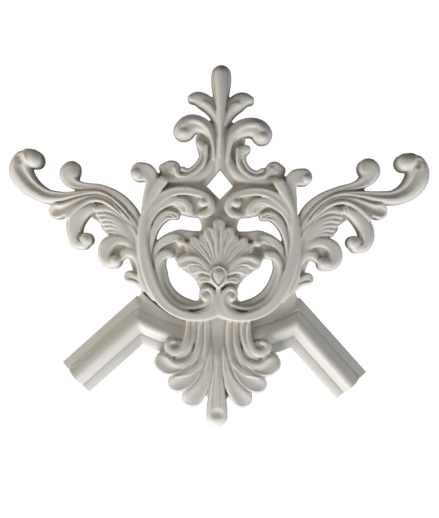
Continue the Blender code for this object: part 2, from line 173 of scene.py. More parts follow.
def smooth(stations, step):
    """Points on a smooth curve through the stations, with every column carried along."""
    rows = np.array(stations, float)
    gaps = np.sqrt(np.linalg.norm(np.diff(rows[:, :2], axis=0), axis=1))
    slopes = np.gradient(rows, np.concatenate([[0.0], np.cumsum(gaps)]), axis=0)
    made = [rows[0]]
    for i, gap in enumerate(gaps):
        steps = max(1, round(gap**2 / step))
        for t in np.arange(1, steps + 1) / steps:
            made.append(
                (2 * t**3 - 3 * t**2 + 1) * rows[i]
                + (t**3 - 2 * t**2 + t) * gap * slopes[i]
                + (3 * t**2 - 2 * t**3) * rows[i + 1]
                + (t**3 - t**2) * gap * slopes[i + 1]
            )
    return np.array(made)


def rise(half, crown, roll):
    """How far the crown of a leaf stands above its two walls."""
    return min(half, crown * (1 - WALL_SHARE), roll)


def capped(rows, roll):
    """Adds rounded ends: sections that shrink to a point over half a width beyond the last station."""
    ends = []
    for end, inner in ((rows[0], rows[1]), (rows[-1], rows[-2])):
        way = end[:2] - inner[:2]
        way /= np.linalg.norm(way)
        cap = []
        for turn in np.arange(1, CAP_STEPS + 1) / CAP_STEPS * math.pi / 2:
            made = end.copy()
            made[:2] += way * end[2] * math.sin(turn)
            made[2] *= max(math.cos(turn), LEAST_CAP)
            made[3] -= rise(end[2], end[3], roll) * (1 - math.cos(turn))
            made[4] *= math.cos(turn) ** 2
            cap.append(made)
        ends.append(cap)
    return np.array(ends[0][::-1] + list(rows) + ends[1])


def across_leaf(half, crown, hollow, lean, roll):
    """Offsets across a leaf and their heights: a crown between two walls, hollowed along its run."""
    crest = rise(half, crown, roll)
    fullness = 1 + min(half / crest, FULLEST) + min(FULLER_BY_HOLLOW, 2 * hollow / half)
    points = [(-half, -BEHIND_WALL)]
    for turn in np.linspace(-math.pi / 2, math.pi / 2, SECTION_STEPS + 1):
        u = math.sin(turn)
        bowl = hollow * (1 - min(abs(u - lean) / (RIM - abs(lean)), 1) ** 2)
        dome = max(0, 1 - abs(u) ** fullness) ** (1 / fullness)
        points.append((u * half, crown - crest + crest * dome - bowl))
    points.append((half, -BEHIND_WALL))
    return points


def left_place(x, z):
    """Where a point of the right half lies on the left, which was carved by eye and strays a little."""
    across, up = 0.0, 0.0
    for (place_x, place_z), (shift_x, shift_z), reach in STRAYS:
        near = math.exp(-((x - place_x) ** 2 + (z - place_z) ** 2) / (2 * reach**2))
        across += shift_x * near
        up += shift_z * near
    return -(x + across), z + up


def lay_leaf(stations, roll, left):
    """Adds one leaf to the clay, on the right half or on the left one.

    Each of its stations holds x, z, half width, height of the crown and depth of the hollow along it.
    A sixth number is how far the hollow leans to the right as the leaf runs, in half widths.
    """
    full = [tuple(station) + (0,) * (6 - len(station)) for station in stations]
    rows = capped(smooth(full, STATION_STEP), roll)
    rings = []
    for row, (way_x, way_z) in zip(rows, np.gradient(rows[:, :2], axis=0)):
        length = math.hypot(way_x, way_z)
        ring = []
        for offset, height in across_leaf(*row[2:], roll):
            place = row[0] + way_z / length * offset, row[1] - way_x / length * offset
            if left:
                place = left_place(*place)
            ring.append((place[0] * MM, -height * MM, place[1] * MM))
        rings.append(ring)
    loft(clay, rings)


def carve(leaves, roll=FULL_ROLL, centred=()):
    """Lays a group of leaves and their mirror images, apart from those on the centre line.

    The roll is how far the leaves' edges are rounded over. Beds are flat and eyes are round.
    """
    for name, stations in leaves.items():
        own_roll = BED_ROLL if name.endswith("_bed") else FULL_ROLL if name.endswith("_eye") else roll
        lay_leaf(stations, own_roll, False)
        if name not in centred:
            lay_leaf(stations, own_roll, True)


def chase(depth, half, *lines, taper=3, centred=False):
    """Notes lines to press into the skin, or to raise from it where the depth is below zero."""
    for line in lines:
        run = smooth(line, STATION_STEP)
        chased.append((depth, half, taper, run))
        if not centred:
            chased.append((depth, half, taper, np.array([left_place(*place) for place in run])))


carve({
    "outer_rim": [(0, 22.5, 5, 24.5, 0), (12, 18.5, 5.3, 26, 0.3), (28, 16.8, 5.6, 27, 0.6),
                  (48, 20.8, 6, 27, 1), (68, 34, 6.5, 27, 1), (82, 56, 7, 27, 1), (91, 84, 7, 26, 1),
                  (95, 112, 6, 25, 0.5), (93, 140, 5, 24, 0), (90, 158, 4, 23, 0)],
    "volute": [(38, 17.5, 4, 25, 0), (24, 18, 6, 26, 0), (13, 23, 6, 26, 0), (7.2, 32, 4.6, 25.5, 0),
               (5.8, 41.5, 3.6, 25.5, 0), (8.5, 49, 3.2, 25.5, 0), (14.5, 52.3, 2.9, 25.5, 0),
               (20.3, 49.5, 2.7, 25, 0), (22, 44, 2.3, 24.5, 0)],
    "inner_rib": [(16, 46.5, 1.8, 25, 0), (12, 43.5, 2, 25, 0), (11.5, 38, 2.3, 24.5, 0),
                  (16, 32.8, 2.5, 24, 0), (23, 29.8, 2.6, 23, 0), (32, 28, 2.6, 23, 0),
                  (43, 28.8, 2.6, 23, 0), (53, 33, 2.8, 23, 0), (61, 39.5, 2.8, 23, 0),
                  (69, 50.5, 3, 23, 0), (74.5, 64, 3.2, 23, 0), (77, 78, 3.6, 23, 0),
                  (74, 88, 4.6, 23.5, 0.3), (67, 94, 5.6, 24, 0.6), (61, 94.5, 5.4, 24, 0)],
    "ring_bed": [(14, 41, 9, 18, 0), (22, 29, 8, 16, 0), (45, 30, 8.5, 15, 0), (62, 42, 9, 15, 0),
                 (74, 60, 9.5, 15, 0), (80, 80, 10, 15, 0), (81, 98, 10, 15, 0), (86, 112, 7, 15, 0),
                 (88, 125, 6, 15, 0)],
    "rim_bed": [(81, 82, 5, 19, 0), (85.5, 97, 5, 20, 0), (88, 114, 5, 20, 0), (88.5, 132, 4, 20, 0)],
    "cove": [(17, 29, 3, 19.5, 0), (21, 28, 3, 19.5, 0), (27, 31, 3.5, 18.5, 0), (36, 33.5, 4, 18, 0),
             (46, 37, 4.5, 18, 0), (56.5, 44.5, 4.6, 18, 0), (65, 55, 5, 18, 0), (70.5, 67, 5, 18, 0),
             (73, 79, 4.8, 18, 0), (71.5, 87, 4.6, 18, 0)],
    "eyebrow": [(81, 82, 2.6, 20, 0), (79.5, 94, 3.4, 21, 0.3), (74, 105, 4.8, 22, 0.8),
                (65, 112, 5.6, 23, 1.4), (55, 115, 5.4, 23, 1.2), (48.5, 113.5, 4.6, 23, 0.6)],
    "brow_eye": [(47.6, 109.5, 5.6, 25, 0), (47.8, 109.5, 5.6, 25, 0)],
    "volute_eye": [(16.8, 41, 4.8, 26.5, 0), (17, 41, 4.8, 26.5, 0)],
    "rail_bed": [(38, 14.5, 7, 9.2, 0), (60, 20.5, 9.5, 9.2, 0), (78, 27.5, 11.5, 9.2, 0),
                 (91, 35.5, 10.4, 9.2, 0)],
    "rail_corner_bed": [(84, 39, 8, 9.2, 0), (90.5, 44.2, 7.1, 9.2, 0)],
}, roll=RING_ROLL)
chase(0.9, 1.6, [(84, 88), (87.5, 100), (89.5, 115), (89, 128)])
chase(1.2, 1.3, [(57, 113), (65, 108), (71, 101), (75, 92)])
chase(0.8, 1.2, [(0, 51), (0, 40), (0, 28)], centred=True)

# The palmette: a fan of slender rays and short ears round a raised bead, on its own ground behind
# the ring. In the real piece it is part of the one casting.
LEAF_ROLL = 2.6

carve({
    "palmette_bed": [(0, 50, 23, 14, 0), (0, 60, 28, 16, 0), (0, 68, 35, 17, 0), (0, 75, 45, 17, 0),
                     (0, 84, 52, 17, 0), (0, 98, 60, 17, 0), (0, 110, 52, 17, 0), (0, 122, 25, 16, 0),
                     (0, 145, 27, 15, 0)],
    "ray_ground_bed": [(0, 74, 9, 22, 0), (0, 90, 20, 22, 0), (0, 100, 24, 22, 0), (0, 108, 18, 21, 0)],
    "bead_bed": [(0, 62, 9, 28, 0), (0, 69, 10.5, 28, 0)],
    "bud_stem": [(0, 54, 3, 25, 0), (0, 44, 3.6, 25, 0), (0, 34, 4.6, 25, 0), (0, 26, 8, 25, 0)],
    "bead_eye": [(-0.3, 58, 1.4, 29.5, 0), (-0.3, 62.5, 4.6, 30.5, 0), (-0.3, 67, 7, 31, 0),
                 (-0.3, 70, 7.8, 31, 0)],
    "ray_0": [(0, 78, 2.4, 25, 0), (0, 100, 4, 26, 0.6), (0, 119, 5.8, 26, 1.2), (0, 132, 7.2, 25, 1.2)],
    "brow_bed": [(10, 112, 12, 16, 0), (32, 111.5, 12, 17, 0), (50, 112.5, 12, 17, 0),
                 (62, 108, 12, 17, 0), (72, 103, 10, 17, 0)],
    "brow_roll": [(22, 118.5, 5, 18, 0), (35, 118, 5.5, 19, 0), (50, 118.5, 6.5, 19.5, 0),
                  (62, 114.5, 5.5, 19.5, 0), (72, 107, 4.5, 19, 0)],
    "ray_1": [(2.5, 78, 1.8, 25, 0), (6, 100, 3.2, 25.5, 0.4), (9.6, 112.5, 4.8, 25.5, 1.1),
              (12.4, 122.5, 6.6, 25, 1.3)],
    "ray_2": [(5, 78, 1.6, 25, 0), (10.4, 97, 2.9, 25, 0.3), (15.6, 108, 4.2, 24.5, 0.7),
              (19.6, 114.5, 5, 24, 0.8)],
    "ray_3": [(7, 78, 1.6, 25, 0), (14.6, 93.5, 2.9, 25, 0.3), (23.4, 104.5, 4.4, 24.5, 0.8),
              (31, 111.6, 5.2, 24, 0.8)],
    "ray_4": [(9, 77, 1.8, 25, 0), (18.6, 89.5, 3.2, 25, 0.3), (28, 97.5, 4.4, 24.5, 0.8),
              (37, 101, 5, 24, 0.8)],
    "ray_4_lip": [(22, 98, 2, 22.5, 0), (32, 105, 2.8, 23.3, 0.3), (41, 106.5, 3, 23.5, 0.3)],
    "ear_5": [(11, 75, 2.6, 25.5, 0), (21, 83, 4.8, 26, 0.6), (31, 87, 7, 26.5, 1.1),
              (40, 86.5, 8.2, 26.5, 1.4), (44.5, 84, 8.2, 26.5, 1.4)],
    "ear_5_lip": [(20, 87, 1.8, 25, 0), (31, 91, 2.8, 26.6, 0), (41, 90.5, 3.4, 27, 0),
                  (46.5, 87, 3.2, 26.5, 0)],
    "ear_6": [(11, 70.5, 2.2, 25.5, 0), (20, 75, 3.8, 26, 0.5), (28, 75.5, 5, 26, 0.9),
              (34, 73.5, 5.2, 25.5, 0.9)],
    "ear_7": [(8, 59.5, 2.2, 25, 0), (14.5, 63.6, 3.8, 26, 0.5), (21.5, 62.9, 4.7, 25.5, 0.7)],
    "ear_bed": [(12, 66, 7, 22, 0), (24, 74, 9, 22, 0), (36, 82, 8, 21, 0)],
}, roll=LEAF_ROLL, centred=("palmette_bed", "ray_ground_bed", "bead_bed", "bead_eye", "bud_stem", "ray_0"))
chase(-2.2, 1.5, [(0, 54.5), (6.3, 60.5), (9.4, 66), (9.8, 71.5), (7, 77), (0, 80)], taper=0)
chase(0.9, 1.2, [(15, 73.5), (23, 79.5), (32, 81), (40, 79)], [(17, 69.8), (25, 71.5), (31, 69.5)],
      [(6, 104), (9.5, 116), (12.5, 126)], [(12, 62), (18, 64.5), (24, 62.5)])
chase(0.9, 1.2, [(18, 79.5), (27, 84), (36, 85)], [(0, 96), (0, 112), (0, 128)])
chase(1.3, 1.4, [(4, 88), (6, 104), (7.4, 116)], [(6, 86), (11.5, 102), (15.4, 113)],
      [(8, 85), (16.6, 99.5), (24.6, 109)], [(10, 81.5), (21, 93.5), (31.5, 104)])
chase(0.8, 1.3, [(12, 96), (18, 107), (21, 113)], [(18, 95), (25.5, 103.5), (31, 109)])

# The upper scrolls: three nested acanthus curls on each side above the eyes, with a bud that lies
# over them and a short curl at the shoulder. They tie the ring to the finial.
carve({
    "upper_bed": [(92, 118, 5, 16, 0), (85, 140, 9, 17, 0), (73, 157, 13, 17, 0), (55, 164, 18, 17, 0),
                  (35, 161, 20, 17, 0), (15, 158, 18, 16, 0), (0, 154, 14, 15, 0)],
    "cross_bed": [(8, 184, 9, 14, 0), (45, 184, 9, 14, 0), (86, 178, 9, 14, 0)],
    "scroll_1": [(95, 116, 3.5, 22, 0), (92.5, 135, 4.5, 23, 0.5), (85, 151, 5.3, 24, 1),
                 (74, 163, 5.8, 24.5, 1.4), (60, 171, 5.6, 25, 1.4), (45, 173.2, 5.4, 25, 1.3),
                 (31, 171.5, 5.3, 25, 1), (19, 167.5, 4.8, 25, 0.5), (11.5, 160, 4.4, 24.5, 0),
                 (10.5, 151.5, 4.6, 24, 0), (15, 145.5, 4.8, 24, 0.4), (23, 143, 4.4, 23, 0)],
    "scroll_1_eye": [(20.5, 158.5, 6, 26.5, 0), (20.7, 158.5, 6, 26.5, 0)],
    "scroll_2": [(91, 100, 2, 21, 0), (90, 118, 2.5, 22, 0), (86.5, 134, 3, 22.5, 0),
                 (79.5, 147, 3.8, 23, 0.5), (70, 155, 4.5, 23.5, 1), (58, 160, 5, 24, 1),
                 (46, 159.5, 5, 24, 1), (39, 153.5, 4.8, 23.5, 0.5), (37, 146, 4.6, 22.5, 0)],
    "scroll_3": [(84, 84, 1.6, 20, 0), (84.5, 100, 2.4, 21, 0), (82.8, 114, 3.4, 22, 0),
                 (78.8, 127, 4.6, 22.5, 0.5), (72, 137.5, 5.8, 23, 1), (63.5, 143, 6, 23.5, 1.4),
                 (54.5, 142, 5, 23, 0.8)],
    "scroll_4": [(60, 158, 4, 20, 0), (50, 154, 5, 21, 0), (44, 147, 4, 21, 0)],
    "bud_leaf": [(94, 138, 2.4, 24, 0), (89.5, 154, 3.6, 25, 0), (82.5, 168, 5, 26, 0.3),
                 (75.5, 180, 6.3, 27, 0.6), (73.5, 184, 6.6, 27, 0)],
    "corner_curl": [(93, 145, 4, 21, 0), (90.5, 165, 5.6, 22, 0.3), (88, 182, 8, 23, 0.8),
                    (94, 191, 10, 24, 0.8), (104, 192, 10.8, 24, 0.4)],
    "corner_curl_eye": [(108, 189.5, 6, 27, 0), (108.2, 189.5, 6, 27, 0)],
}, roll=RING_ROLL)
chase(1.3, 1.2, [(42, 149), (44.5, 154.5), (52, 157.3), (61, 154.8), (69, 149.5)],
      [(52, 139), (56, 143.5), (63, 144.5)], [(57, 138.5), (61, 141), (66, 141)])
chase(2.0, 1.6, [(80, 112), (81.5, 102), (83, 92)])

# The finial: a drop-shaped bud that rises between two side leaves and two large curls, from a stem
# whose foot is edged with fine flutes.
carve({
    "finial_bed": [(0, 198, 27, 13, 0), (0, 214, 26, 13, 0), (0, 230, 30, 13, 0), (0, 240, 31, 13, 0),
                   (0, 250, 24, 13, 0), (0, 262, 13, 13, 0)],
    "stem": [(0, 186, 20, 18, 0), (0, 205, 15, 19, 0), (0, 230, 12, 20, 0), (0, 262, 9, 20, 0)],
    "stem_ridge": [(0, 190, 8, 20.5, 0), (0, 208, 7, 22, 0), (0, 226, 6, 23, 0), (0, 240, 5, 23, 0)],
    "finial_bud": [(0, 226, 1.5, 22, 0), (0, 250, 4.5, 23, 0), (0, 275, 8, 24, 0), (0, 295, 10.4, 24, 0),
                   (0, 311, 12.6, 24.5, 0), (0, 318.2, 12.4, 24.5, 0)],
    "bud_face": [(0, 216, 0.8, 24, 0), (0, 236, 1.8, 26, 0), (0, 254, 3.2, 27.5, 0), (0, 275, 5.4, 29, 0),
                 (0, 298, 8, 30.5, 0), (-0.5, 313, 9.2, 31, 0), (-0.5, 318.5, 8.6, 31, 0)],
    "sweep": [(8, 232, 5, 20, 0), (9, 212, 7, 20, 0), (20, 196, 8, 20, 0), (38, 188, 7, 20, 0),
              (58, 187, 6, 20, 0), (74, 190, 8, 18, 0)],
    "flute_bed": [(25, 224, 5, 18, 0), (26.5, 211, 5, 18, 0), (34, 199.5, 5, 18, 0), (45, 194.5, 5, 18, 0),
                  (55, 197, 5, 18, 0)],
    "flute_a": [(29, 224, 3, 20, 0), (30, 211, 3, 20, 0), (36, 201, 3, 20, 0), (45, 196.5, 2.8, 20, 0),
                (53, 200, 3, 21, 0)],
    "flute_b": [(22, 226, 2.6, 21.5, 0), (23, 208, 2.6, 21.5, 0), (32, 196, 2.6, 21.5, 0),
                (45, 190.5, 2.6, 21.5, 0), (57, 193.5, 2.6, 22.5, 0), (63, 202, 3, 22.5, 0)],
    "shoulder": [(58, 194, 6, 19, 0), (67, 203, 8.5, 22, 2), (75, 200, 7, 20, 1)],
    "spur": [(24, 216, 5.5, 20, 0), (28.5, 223, 6.5, 21.5, 0.5), (32.5, 226, 5.5, 22, 0.5)],
    "curl": [(8, 228, 6, 20, 0), (13, 241, 8.5, 21.5, 0.3), (24, 250.5, 11, 23.3, 0.5),
             (38, 253.5, 12.2, 24, 0.8), (48, 250, 12.8, 25, 0.6), (52, 244.5, 12.8, 25.4, 0.2)],
    "curl_ridge": [(9, 212, 2, 21.5, 0), (12.5, 232, 2.8, 23.5, 0), (17.5, 245, 3.4, 25, 0),
                   (26.5, 253, 4.2, 25.8, 0), (37.5, 256.5, 5, 26, 0), (47, 255, 5.4, 26, 0),
                   (52.5, 250, 5, 26, 0)],
    "curl_eye": [(52.5, 241, 7, 27.5, 0), (52.7, 241, 7, 27.5, 0)],
    "side_leaf": [(4, 256, 5, 19, 0), (9, 269, 8, 21, 0.4), (16, 280, 10.6, 22.8, 0.6),
                  (26, 287, 10.2, 23.2, 0.6), (32.5, 287.8, 8, 22.5, 0.6), (36.4, 287, 5.2, 22.3, 0)],
    "side_leaf_fold": [(5, 257, 2.6, 22, 0), (9.5, 269, 3.8, 24, 0.3), (15, 277.5, 4.6, 25, 0.6),
                       (20, 281, 4.4, 25, 0)],
}, centred=("finial_bed", "stem", "stem_ridge", "finial_bud", "bud_face"))
chase(0.7, 1.3, [(26, 222), (26.5, 211), (33, 199.5), (43, 194), (52, 196)])

# The wings: on each side a long acanthus frond of four ribbons and a fan, curled over at the tips.
# Their undersides stand free of the wall frame, so they are the thinnest part of the casting.
carve({
    "wing_bed": [(95, 62, 8, 13, 0), (103, 90, 10, 13, 0), (108, 113, 14, 13, 0), (122, 134, 17, 13, 0),
                 (145, 150, 17, 13, 0), (168, 160, 13, 13, 0), (190, 162, 8, 13, 0)],
    "fan_bed": [(110, 108, 7, 14, 0), (126, 121, 10, 14, 0), (139, 130, 9.5, 14, 0)],
    "wing_stem": [(80, 38, 2.6, 22, 0), (91, 52, 3, 23, 0), (98, 72, 3.4, 23, 0), (101, 95, 3.4, 22, 0),
                  (101, 120, 3, 21, 0)],
    "thumb": [(97, 126, 3, 20, 0), (106, 149, 4.2, 21, 0.5), (122, 165, 4.6, 22, 1),
              (148, 177, 4.2, 23, 1.2), (165, 181, 5, 24, 2), (178, 186.5, 7.4, 25, 2.6),
              (185.5, 194, 10.6, 26, 2.2), (187, 201, 12.8, 26.5, 1.6), (184.5, 204, 12.8, 26.5, 1.4)],
    "tip": [(98, 120, 2.6, 21, 0), (110, 141, 2.8, 23, 0.3), (128, 160.5, 3.2, 24, 0.6),
            (150, 171, 3.4, 25, 0.8), (175, 171.2, 4.4, 25.5, 1.4, -0.2), (197, 168.5, 7, 26, 2.6, -0.25),
            (217, 168.3, 9.6, 27, 3.6, -0.3), (234.5, 176.3, 12.2, 29, 4.6, -0.32),
            (244.5, 189.5, 13.5, 31, 4.6, -0.3), (246.2, 201, 12.9, 31.5, 3.4, -0.15),
            (243, 208.5, 12.4, 31.5, 1.6, 0)],
    "tip_eye": [(236, 213, 10.4, 32.5, 0), (230, 211.5, 11.4, 33, 0), (229.8, 211.4, 11.4, 33, 0)],
    "thumb_bed": [(150, 171, 5, 18, 0), (166, 176, 5.5, 18, 0), (176, 178, 4.5, 18, 0)],
    "lower_lobe": [(100, 117, 2.4, 21, 0), (112, 137, 2.6, 22, 0.3), (130, 156, 3.2, 23.5, 0.6),
                   (150, 165, 3.4, 24, 1), (166, 163.5, 4.8, 25, 2, 0.2), (180, 158, 7, 26, 3.5, 0.2),
                   (192, 152.5, 9.6, 26.5, 5, 0.1), (198, 151, 11, 26.5, 5.5)],
    "fan_top": [(102, 112, 2.4, 21, 0), (113, 133, 3.2, 23, 0.3), (125, 146, 4, 24, 0.5),
                (138, 151, 4.2, 24.5, 0.5), (151, 149.5, 4.2, 24.5, 0)],
    "fold": [(100, 111, 2, 22, 0), (112, 135, 2.2, 23.5, 0), (122, 147, 2.3, 24.5, 0),
             (135, 156.5, 2.4, 25.5, 0), (148, 161, 2.6, 26, 0), (158, 160.8, 2.8, 26.5, 0),
             (168, 156.5, 3, 27, 0), (178, 149, 3.2, 27.5, 0), (186, 141.5, 3.4, 27, 0)],
    "fold_bed": [(130, 147, 8, 19, 0), (150, 154, 8, 19, 0), (166, 152, 6, 19, 0)],
    "hook": [(158, 151, 6.4, 26.5, 0), (166, 147.5, 8.4, 27, 0.5), (175, 139.5, 9.6, 27, 0.8),
             (182, 128, 9.8, 27, 1), (183.5, 116, 9, 27, 1), (179, 107.5, 8.4, 26.5, 0.6),
             (171, 105.5, 7.6, 26, 0)],
    "hook_eye": [(167.5, 111, 8.8, 28, 0), (167.7, 111, 8.8, 28, 0)],
    "fan_2": [(104, 110, 2, 21, 0), (116, 129, 2.2, 23, 0), (128, 139.5, 2.3, 24, 0),
              (140, 143.5, 2.5, 24, 0), (151, 142.5, 2.8, 23.5, 0)],
    "fan_3": [(105, 107, 2, 21, 0), (116, 124.5, 2.1, 23, 0), (127, 134.5, 2.2, 24, 0),
              (138, 138, 2.4, 24, 0), (148, 136.8, 2.7, 23.5, 0)],
    "fan_4": [(105, 104, 2, 21, 0), (116, 120, 2, 23, 0), (127, 129.7, 2.1, 23.5, 0),
              (137, 132.3, 2.3, 23.5, 0), (145, 131.6, 2.5, 23, 0)],
    "fan_5": [(106, 101, 2, 21, 0), (116, 115.8, 2, 22.5, 0), (126, 124.8, 2.1, 23, 0),
              (136, 127, 2.2, 23, 0), (142.5, 126, 2.4, 22.5, 0)],
    "fan_6": [(106, 99, 2, 21, 0), (115, 111.8, 2, 22, 0), (124, 119.6, 2.1, 22.5, 0),
              (133, 121.5, 2.2, 22.5, 0), (140, 120.3, 2.4, 22, 0)],
    "ball_curl": [(100, 82, 3, 21, 0), (106, 98, 4, 22, 0.5), (117, 109.5, 5.2, 24, 0.8),
                  (131, 111, 7, 25, 1.2), (142, 104, 8.6, 26, 1.6), (145, 93, 8.6, 26, 1.6),
                  (139, 84.5, 8.6, 26, 0.5), (131, 84, 9, 25, 0)],
    "ball_curl_eye": [(130, 85, 7.6, 29, 0), (130.2, 85, 7.6, 29, 0)],
    "ball_curl_bed": [(112, 97, 9, 18, 0), (126, 98, 12, 19.5, 0)],
    "tongue": [(98, 76, 4, 20, 0), (103, 89, 5, 22, 0.5), (111.5, 96, 5.4, 24, 1),
               (118.5, 94.5, 5, 24, 0.8), (121.5, 90, 4.2, 23, 0)],
    "small_leaf": [(91, 50, 4, 17, 0), (101, 61, 6, 20, 1.5), (111, 65.5, 7.5, 21, 2.5)],
})
chase(2.6, 1.8, [(108, 142), (118, 156), (130, 165.5), (145, 173), (160, 175.6), (175, 176.4), (186, 177)])
chase(2.4, 1.7, [(110, 138), (121, 152), (135, 163.8), (150, 168.4), (165, 168.2), (177, 165.6),
      (190, 161.8), (203, 161.6)])
chase(2.6, 6.0, [(244.6, 207.5), (246.2, 211.5)], taper=0)
chase(-1.2, 2.6, [(242, 219), (238, 213), (236.4, 207), (238, 202)], taper=2)
chase(1.4, 1.5, [(106, 126), (114, 137), (124, 149.5), (136, 159.8), (149, 164.2), (160, 163), (170, 159),
      (181, 151.5)])
chase(1.2, 1.4, [(112, 131), (122, 143.5), (135, 152.5), (150, 157.5), (160, 155.5), (170, 150)])
chase(1.5, 1.4, [(146, 157), (153, 157.5), (157, 152.5), (157, 146)], taper=1)
chase(2.2, 1.8, [(172, 124), (177, 119), (178, 112), (174, 108.5)])
chase(1.6, 1.3, [(98, 58), (106, 62.5), (116, 63.5)])

# The shell: nine hollowed lobes that hang over the corner from below the ring, with a small scroll
# at either side. It stands out furthest from the wall.
SHELL_ROLL = 7.0

carve({
    "shell_bed": [(0, 12, 34, 14, 0), (0, -8, 38, 18, 0), (0, -28, 50, 23, 0), (0, -50, 52, 24, 0),
                  (0, -66, 38, 23, 0), (0, -74, 16, 22, 0)],
    "ground_0_bed": [(9, -12, 2, 22, 0), (9, -22, 2.5, 25.2, 0), (9, -34, 3, 27.5, 0)],
    "ground_1_bed": [(12, -34, 3, 26.5, 0), (16, -52, 4, 27, 0), (23, -66, 4, 27, 0)],
    "ground_2_bed": [(17.8, -10, 2, 22.5, 0), (18.5, -22, 2.4, 25.5, 0), (21, -32, 4, 27, 0),
                     (28, -42, 5, 27, 0), (42, -54, 5, 27, 0)],
    "ground_3_bed": [(34, -22, 3, 25.5, 0), (38, -31, 4, 26, 0), (47, -37, 5, 26, 0), (58, -38, 4, 26, 0)],
    "neck": [(0, 14, 11, 19, 0.8), (0, -6, 11, 21.5, 0.9), (0, -20, 10.6, 25.5, 0.6),
             (0, -31, 9.5, 28.4, 0.2), (0, -48, 8, 29.5, 0)],
    "flute_1": [(14, 12, 3.7, 20, 0), (14, -8, 3.8, 24, 0), (14.2, -22, 3.8, 27.5, 0),
                (15.8, -34, 3.7, 29.5, 0), (19, -46, 3.2, 29.5, 0)],
    "flute_2": [(21.8, 12, 4.2, 19.5, 0), (21.8, -4, 4.3, 23, 0), (23, -15, 4.2, 26, 0),
                (26, -26, 4, 28.5, 0), (30.5, -37, 3.6, 29, 0), (37, -46, 3, 29, 0)],
    "flute_3": [(31, 12, 4.8, 19.5, 0), (31, 0, 4.8, 22, 0), (32.5, -10, 4.6, 25, 0),
                (36, -20, 4.2, 27.5, 0), (42, -29, 3.6, 28, 0), (50, -34, 3, 28, 0)],
    "lobe_0": [(0, -22, 2.4, 25.8, 0), (0, -31, 3.8, 29, 0), (0, -45, 5.6, 31.5, 0.6),
               (0, -60, 7.6, 33.5, 1), (0, -75, 9.6, 34.5, 1.2), (0, -88, 11.4, 35.3, 1.2),
               (0, -97, 12.8, 35.6, 1), (0, -104.9, 13, 35.6, 0.6)],
    "lobe_1": [(8, -20, 1.8, 26, 0), (8.6, -29, 2.4, 29.3, 0), (10.5, -44, 4.6, 31.5, 0.8),
               (14.5, -58, 7, 33, 1.3), (20.5, -70, 9.8, 34, 1.8), (27, -78, 12, 34.5, 2.2),
               (30.8, -81.8, 12.6, 34.5, 2.2)],
    "lobe_2": [(14.5, -31, 3, 29, 0.3), (19, -41, 6, 31, 1), (26, -50.5, 9.2, 32, 1.6),
               (35, -58, 11, 33, 2), (43.5, -62.6, 11.8, 33.5, 2.3), (49, -64.8, 12, 33.5, 2.3)],
    "lobe_3": [(26, -26, 3.4, 28, 0.3), (31, -36, 6.2, 30, 1), (40, -43.5, 8.4, 31.5, 1.6, 0.1),
               (51, -46.5, 9.8, 32, 2, 0.1), (61, -44, 11.6, 32, 2.3, 0.1),
               (66, -39.5, 12.2, 32, 2.3, 0.1)],
    "lobe_4": [(38, 12, 2, 21, 0), (38, -2, 3, 24.5, 0), (40, -14, 4, 28, 0.2), (45.5, -24, 5, 30, 0.5),
               (54, -26.8, 5.6, 31, 0.5), (61, -22, 5.2, 30.5, 0.3), (61, -15.5, 4, 29.5, 0),
               (55.5, -13.2, 3, 28.5, 0)],
    "hook_bed": [(49, -16, 4.4, 25.5, 0), (56, -19.5, 4.4, 26.6, 0)],
    "pocket_bed": [(46, -18, 4, 24, 0), (53, -23, 5, 24.5, 0), (60, -31, 7, 25, 0), (62, -34, 7, 25, 0)],
}, roll=SHELL_ROLL, centred=("shell_bed", "neck", "lobe_0"))
chase(1.0, 1.4, [(2, -38), (3, -52), (4, -66), (4.6, -80), (5, -94)])
chase(1.8, 7.6, [(-1.4, -100.4), (2.6, -100.6)], taper=0, centred=True)
chase(-0.8, 2.2, [(9.5, -60), (11, -73), (14, -81), (20, -88), (28, -91.5), (36, -91), (42, -86)],
      [(20, -47), (25, -57), (32, -66), (40, -71.5), (49, -73.5), (56, -71), (59.5, -65)],
      [(36, -40), (44, -47), (52, -51.5), (61, -53), (70, -50), (75, -43), (75.5, -37)], taper=2)
chase(-0.7, 1.8, [(35, -26), (41, -34), (50, -38.5), (58, -36), (66, -30)], [(17, -37), (24, -46),
      (33, -53), (44, -55), (54, -56.5)], [(10, -34), (14, -48), (22, -60), (33, -70)], taper=2)
chase(1.0, 1.2, [(8.5, -31), (10, -40), (12, -50)], [(14, -34), (17, -45), (21, -54)], [(33, -41),
      (42, -46.5), (52, -48.5)])

# The casting: the carver's model is melted into one skin, chased, smoothed and joined to the
# moulding, and the back is struck off flat. The foam is poured in one go, so it is one piece.
SKIN_STEP = 0.9 * MM
SKIN_TRIANGLES = 170000
SMOOTHINGS = 5
WASH_ROUNDS = 5
SOFTEN = 0.5
FIRM = -0.47
RECESS_ROUNDS = 50
SHARP_ANGLE = 50
FACING_GAIN = 1.6
LEAST_FADE = 0.15
GAP_HALF_WIDTH = 17.0
GAP_BOTTOM = 163.0
GAP_MIDDLE = 180.0
GAP_TOP = 201.0
SLOT_FLOOR = 2.0
SLOT_TOP = 44.0


def settled(obj):
    """The object's mesh with its modifiers applied, as a new mesh."""
    seen = obj.evaluated_get(bpy.context.evaluated_depsgraph_get())
    return bpy.data.meshes.new_from_object(seen)


def read_points(mesh, normals=False):
    """A mesh's points, or their normals, as rows of an array."""
    found = np.empty(len(mesh.vertices) * 3)
    (mesh.vertex_normals if normals else mesh.vertices).foreach_get("vector" if normals else "co", found)
    return found.reshape(-1, 3)


